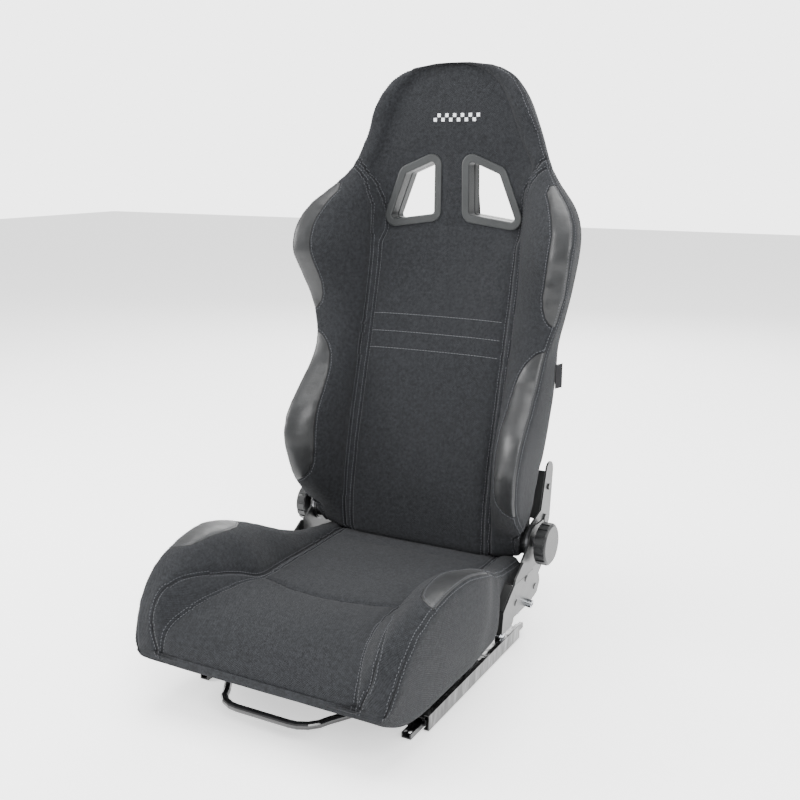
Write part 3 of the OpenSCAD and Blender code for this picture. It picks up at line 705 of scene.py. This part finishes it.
cushion = {
    # (distance front to rear, value) in mm for the right half
    "crestX": [(-293, 193), (-288, 200), (-275, 206), (-240, 212), (-176, 218), (-100, 223), (-50, 222),
               (7, 202), (40, 196), (80, 187), (172, 180)],
    "crestZ": [(-293, 88), (-288, 108), (-268, 152), (-234, 184), (-176, 206), (-120, 211), (-80, 204),
               (-28, 186), (7, 170), (40, 154), (90, 138), (172, 127)],
    "outX": [(-293, 156), (-288, 170), (-279, 174), (-250, 168), (-204, 154), (-174, 143), (-140, 132),
             (-105, 119), (-45, 127), (18, 133), (93, 143), (172, 145)],
    "outZ": [(-293, 86), (-290, 112), (-280, 146), (-265, 166), (-250, 172), (-227, 176), (-174, 167),
             (-140, 157), (-105, 144), (18, 134), (93, 128), (172, 128)],
    "inX": [(-293, 152), (-280, 150), (-250, 139), (-204, 127), (-174, 121), (-140, 117), (-105, 113),
            (18, 127), (93, 137), (172, 139)],
    "inZ": [(-293, 84), (-288, 108), (-278, 124), (-262, 135), (-235, 144), (-200, 149), (-150, 150),
            (-105, 144), (18, 133), (93, 127), (172, 127)],
    "middleZ": [(-293, 84), (-288, 104), (-278, 117), (-262, 128), (-235, 138), (-200, 145), (-150, 147),
                (-118, 142), (-90, 142), (18, 131), (93, 126), (172, 126)],
    "lowX": [(-293, 180), (-280, 188), (-240, 197), (-180, 202), (20, 198), (55, 192), (70, 181), (172, 178)],
    "lowZ": [(-293, 80), (-270, 62), (-240, 51), (-180, 48), (20, 48), (55, 60), (74, 87), (172, 90)],
    "underZ": 76, "underRise": (0.05, 0.3), "middleFlat": 2.4,
    "bolsterLean": 0.35, "bolsterRound": 9, "sideRound": 5,
    "columns": {"centre": 12, "gusset": 4, "bolster": 14, "side": 10, "under": 5},
    "heldRear": 120, "heldSide": 40, "heldCross": 2.6,   # seams and hidden stretches that don't swell
    "pressure": 4.0, "cap": 0.0060,
}
cushionSew = {"sink": 0.0030, "sinkWidth": 0.0045, "pucker": 0.0012, "puckerLength": 0.014,
              "puckerReach": 0.014, "foam": 0.0011, "foamLength": 0.075, "patchSink": 0.0007,
              "patchWidth": 0.003, "patchFirm": 0.002}
# (distance, column) outlines, as on the backrest
thighPatch = [(-201, 30), (-197, 28), (-190, 26), (-180, 24.7), (-160, 24.2), (-128, 24.4), (-100, 24.7),
              (-76, 25.2), (-58, 26.4), (-46, 28), (-42, 30)]
crestSeam, gussetOut, gussetIn = ([(-293, c), (172, c)] for c in (30, 16, 12))
crossSeam = [(-106, 12), (-114, 9), (-121, 6), (-126, 3), (-127, 0)]


def cushionHalf(y):
    v = {key: curveAt(value, y) for key, value in cushion.items() if isinstance(value, list)}
    n = cushion["columns"]
    half = []
    for k in range(n["centre"]):
        t = k / n["centre"]
        half.append((v["inX"] * t, v["middleZ"] + (v["inZ"] - v["middleZ"]) * t ** cushion["middleFlat"]))
    for k in range(n["gusset"]):
        t = k / n["gusset"]
        half.append((v["inX"] + (v["outX"] - v["inX"]) * t, v["inZ"] + (v["outZ"] - v["inZ"]) * t))
    for k in range(n["bolster"]):
        t = k / n["bolster"]
        lean = v["outX"] + (v["crestX"] - v["outX"]) * cushion["bolsterLean"]
        half.append((bow(v["outX"], lean, v["crestX"], t),
                     bow(v["outZ"], v["crestZ"] + cushion["bolsterRound"], v["crestZ"], t)))
    for k in range(n["side"]):
        t = k / n["side"]
        half.append((bow(v["crestX"], v["crestX"] + cushion["sideRound"], v["lowX"], t),
                     bow(v["crestZ"], (v["crestZ"] + v["lowZ"]) / 2, v["lowZ"], t)))
    for k in range(n["under"] + 1):
        t = k / n["under"]
        lift = np.maximum(v["lowZ"], cushion["underZ"]) - v["lowZ"]
        half.append((v["lowX"] * (1 - t), v["lowZ"] + lift * ease(*cushion["underRise"], t)))
    return half


cushionStations = np.concatenate([[-293, -292.5, -291.5, -290, -288, -286, -283.5, -281, -278],
                                  np.arange(-275, 172, 5), [172]])
cushionCover = coverMesh("cushionCover", fullGrid(cushionHalf(cushionStations), cushionStations, 1))
restPoints = points(cushionCover.data)
column = stored(cushionCover.data, "column")
rowNumber = stored(cushionCover.data, "row")
depth = restPoints[:, 1] / mm
crossDepths, crossColumns = zip(*crossSeam[::-1])
crossAt = np.interp(column, crossColumns, crossDepths)
panelAt, gussetAt, crestAt, lowAt = seamColumns(cushion["columns"], ("centre", "gusset", "bolster", "side"))
heldCushion = np.isin(column, (panelAt, gussetAt, crestAt)) | (column >= lowAt - 2)
heldCushion |= (depth > cushion["heldRear"]) | (rowNumber < 2)
heldCushion |= (column <= panelAt) & (np.abs(depth - crossAt) < cushion["heldCross"])
heldCushion |= (column > crestAt) & (depth > cushion["heldSide"])
puffUp(cushionCover, heldCushion, cushion["pressure"], cushion["cap"])
cushionGrid = points(cushionCover.data).reshape(len(cushionStations), -1, 3)
subdivided(cushionCover)
cushionSeams = [path for outline in (crestSeam, gussetOut, gussetIn, crossSeam)
                for path in both(cushionGrid, cushionStations, outline)]
cushionPatches = [(thighPatch, both(cushionGrid, cushionStations, thighPatch))]
sewCover(cushionCover, cushionStations, cushionSeams, cushionPatches, cushionSew)
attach(cushionCover, "seat_base")
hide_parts("cushion_pad")
print("cushion cover done")


thread = {"pitch": 0.0046, "length": 0.0034, "radius": 0.00060, "offset": 0.0034,
          "palePitch": 0.0052, "paleLength": 0.0042, "paleRadius": 0.00055}
darkThread = plainFinish("darkThread", (0.045, 0.047, 0.052), 0.7, grain=0.0002, scale=1500.0,
                         Specular_IOR_Level=0.25)
paleThread = plainFinish("paleThread", (0.060, 0.062, 0.068), 0.65, grain=0.0002, scale=1500.0)
motifThread = plainFinish("motifThread", (0.55, 0.56, 0.58), 0.6, grain=0.0003, scale=1500.0)
backSkin, cushionSkin = surfaceOf(backCover), surfaceOf(cushionCover)


def sewn(skin, path, offset):
    return stitchRun(skin, path, thread["pitch"], thread["length"], thread["radius"], offset=offset)


backRuns, cushionRuns = [], []
for outline in (shoulderSeam, innerSeam, edgeSeam):
    for path in both(backGrid, backStations, outline):
        backRuns += [sewn(backSkin, path, thread["offset"] * side) for side in (1, -1)]
for outline in (shoulderPatch, lumbarPatch):
    for side, path in zip((1, -1), both(backGrid, backStations, outline)):
        backRuns.append(sewn(backSkin, path, thread["offset"] * side))
for outline in (crestSeam, gussetOut, gussetIn):
    for path in both(cushionGrid, cushionStations, outline):
        cushionRuns += [sewn(cushionSkin, path, thread["offset"] * side) for side in (1, -1)]
for side, path in zip((1, -1), both(cushionGrid, cushionStations, thighPatch)):
    cushionRuns.append(sewn(cushionSkin, path, thread["offset"] * side))
stitchPiece("backrestStitching", backRuns, darkThread, "backrest")
stitchPiece("cushionStitching", cushionRuns, darkThread, "seat_base")
paleRuns = []
panelEdge = back["columns"]["centre"]
for level in paleRows:
    leftHalf = pathOn(backGrid, backStations, [(level, panelEdge), (level, 0)], -1)
    rightHalf = pathOn(backGrid, backStations, [(level, 0), (level, panelEdge)], 1)
    paleRuns.append(stitchRun(backSkin, np.concatenate([leftHalf, rightHalf[1:]]), thread["palePitch"],
                              thread["paleLength"], thread["paleRadius"]))
stitchPiece("panelStitching", paleRuns, paleThread, "backrest")
print("stitching done")


finishes = {
    "satinBlack": plainFinish("satinBlack", (0.008, 0.0085, 0.0085), 0.36, coat=0.12, grain=0.0001,
                              scale=700.0, Specular_IOR_Level=0.42, Coat_Roughness=0.25),
    "glossBlack": plainFinish("glossBlack", (0.004, 0.004, 0.0045), 0.16, coat=0.3, Coat_Roughness=0.08),
    "railBlack": railFinish("railBlack", (0.0045, 0.0045, 0.0045), 0.18),
    "zinc": brushedFinish("zincPlate", (0.60, 0.62, 0.65), 0.25, (8.0, 8.0, 1.0)),
    "bareSteel": brushedFinish("oiledSteel", (0.20, 0.20, 0.21), 0.34, (3.0, 9.0, 9.0)),
    "springSteel": plainFinish("springSteel", (0.03, 0.03, 0.032), 0.34, metal=0.9),
    "bezel": plainFinish("slotMoulding", (0.014, 0.0155, 0.016), 0.46, grain=0.0003, scale=1300.0,
                         Specular_IOR_Level=0.4),
    "knob": plainFinish("knobMoulding", (0.010, 0.0105, 0.011), 0.36, grain=0.0002, scale=1300.0,
                        Specular_IOR_Level=0.42),
    "nylon": plainFinish("naturalNylon", (0.50, 0.50, 0.46), 0.45),
    "label": plainFinish("wovenLabel", (0.008, 0.008, 0.009), 0.9, grain=0.0005, scale=1600.0,
                         Specular_IOR_Level=0.2),
    "shell": plainFinish("shellMoulding", (0.009, 0.009, 0.010), 0.55, grain=0.0006, scale=900.0,
                         Specular_IOR_Level=0.3),
}
dressed = {
    "lower_rail": "glossBlack", "upper_rail": "railBlack", "glides": "nylon",
    "cushion_frame": "satinBlack", "frame_standoffs": "satinBlack", "cushion_springs": "springSteel",
    "side_plate": "satinBlack", "recliner_plate": "satinBlack", "recliner_ring": "bareSteel",
    "rivets": "satinBlack", "frame_screws": "zinc",
    "foot_bolt": "zinc", "arm_screws": "satinBlack", "arm": "satinBlack", "recliner_gear": "bareSteel",
    "balance_spring": "springSteel", "back_frame": "satinBlack", "back_springs": "springSteel",
    "back_panel": "shell", "slot_rim": "bezel", "side_tag": "label", "cross_shaft": "bareSteel",
    "knob": "knob", "cam": "bareSteel", "handle_bar": "glossBlack", "latch_pins": "bareSteel",
    "latch": "satinBlack",
}
softEdges = {"side_plate": 0.0006, "recliner_plate": 0.0005, "arm": 0.0006, "slot_rim": 0.0022,
             "upper_rail": 0.0007, "lower_rail": 0.0007, "knob": 0.0009, "foot_bolt": 0.0003,
             "back_panel": 0.0015, "latch": 0.0006}
edgeCut = {"segments": 2, "angle": 40, "weld": 0.00001}

for name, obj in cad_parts.items():
    if name in ("back_pad", "cushion_pad"):
        continue
    family = max((key for key in dressed if name.startswith(key)), key=len)
    for slot in obj.material_slots:
        slot.material = finishes[dressed[family]]
    if not obj.material_slots:
        obj.data.materials.append(finishes[dressed[family]])
    width = softEdges.get(family, 0)
    if width:
        weld = obj.modifiers.new("weld", "WELD")
        weld.merge_threshold = edgeCut["weld"]
        edge = obj.modifiers.new("edge", "BEVEL")
        edge.width, edge.segments, edge.limit_method = width, edgeCut["segments"], "ANGLE"
        edge.angle_limit = math.radians(edgeCut["angle"])
print("frame dressed")


motif = {"left": -32, "right": 50, "low": 797, "rows": 2, "columns": 12, "gap": 0.12,
         "rise": 0.0007, "root": 0.0002, "castFrom": 0.1}


def motifPiece(skin):
    # two rows of chequers in raised satin stitch
    verts, faces = [], []
    size = (motif["right"] - motif["left"]) / motif["columns"]
    for row in range(motif["rows"]):
        for k in range(motif["columns"]):
            if (row + k) % 2:
                continue
            x0, z0 = motif["left"] + k * size, motif["low"] + row * size
            patch = []
            for rise, inset in ((0.0, motif["gap"] / 2), (1.0, motif["gap"])):
                corners = ((inset, inset), (1 - inset, inset), (1 - inset, 1 - inset), (inset, 1 - inset))
                for a, b in corners:
                    inFront = Vector(((x0 + a * size) * mm, motif["castFrom"], (z0 + b * size) * mm))
                    spot, out, _, _ = skin.ray_cast(inFront, Vector((0, 1, 0)))
                    patch.append(spot + out * (motif["rise"] * rise - motif["root"]))
            start = len(verts)
            verts += patch
            faces.append(tuple(start + 4 + j for j in range(4)))
            for j in range(4):
                beside = (j + 1) % 4
                faces.append((start + j, start + beside, start + 4 + beside, start + 4 + j))
    mesh = bpy.data.meshes.new("headMotif")
    mesh.from_pydata(verts, [], faces)
    mesh.materials.append(motifThread)
    obj = bpy.data.objects.new("headMotif", mesh)
    bpy.context.scene.collection.objects.link(obj)
    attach(obj, "backrest")


motifPiece(backSkin)
print("motif done")


studio = {
    "floor": (0.93, 0.93, 0.93), "floorGlow": 1.0, "floorReach": 9, "floorZ": -0.0006,
    "world": 1.05, "backdrop": 4.0,
    "lamps": [  # name, place, size, power
        ("keyLamp", (1.5, -1.7, 1.9), 1.3, 78), ("leftLamp", (-2.3, -0.9, 1.4), 1.2, 80),
        ("topLamp", (0.0, 0.1, 3.0), 2.4, 150), ("sideLamp", (2.4, 1.2, 1.2), 1.2, 30),
        ("rearLamp", (-0.8, 2.6, 1.9), 1.8, 70)],
    "aim": (0, 0, 0.42),
}
camera = {"place": (0.7549, -1.2846, 0.7524), "azimuth": 28.51, "elevation": 13.31,
          "lens": 47.43, "sensor": 36, "clip": 0.05}

floorFinish = Finish("paleFloor", Base_Color=studio["floor"], Roughness=0.9, Emission_Color=studio["floor"],
                     Emission_Strength=studio["floorGlow"])
floorMesh = bpy.data.meshes.new("studioFloor")
corners = [(x * studio["floorReach"], y * studio["floorReach"], studio["floorZ"])
           for x, y in ((-1, -1), (1, -1), (1, 1), (-1, 1))]
floorMesh.from_pydata(corners, [], [(0, 1, 2, 3)])
floorMesh.materials.append(floorFinish.material)
floor = bpy.data.objects.new("studioFloor", floorMesh)
bpy.context.scene.collection.objects.link(floor)

world = bpy.data.worlds.new("studio")
sky = NodeTree(world)
backdrop = sky.nodes["Background"].inputs
sky.plug(backdrop["Color"], (1, 1, 1, 1))
seen = sky.node("LightPath")                    # output 0 is 1 where the backdrop itself is seen
sky.plug(backdrop["Strength"], sky.node("Mix", None, {0: seen, 2: studio["world"], 3: studio["backdrop"]}))
bpy.context.scene.world = world
for name, place, size, power in studio["lamps"]:
    data = bpy.data.lights.new(name, "AREA")
    data.size, data.energy = size, power
    lamp = bpy.data.objects.new(name, data)
    lamp.location = place
    lamp.rotation_euler = (Vector(studio["aim"]) - Vector(place)).to_track_quat("-Z", "Y").to_euler()
    bpy.context.scene.collection.objects.link(lamp)

cameraData = bpy.data.cameras.new("studioCamera")
cameraData.lens, cameraData.sensor_width = camera["lens"], camera["sensor"]
cameraData.clip_start = camera["clip"]
eye = bpy.data.objects.new("studioCamera", cameraData)
eye.location = camera["place"]
eye.rotation_euler = (math.radians(90 - camera["elevation"]), 0, math.radians(camera["azimuth"]))
bpy.context.scene.collection.objects.link(eye)
bpy.context.scene.camera = eye
print("studio set")
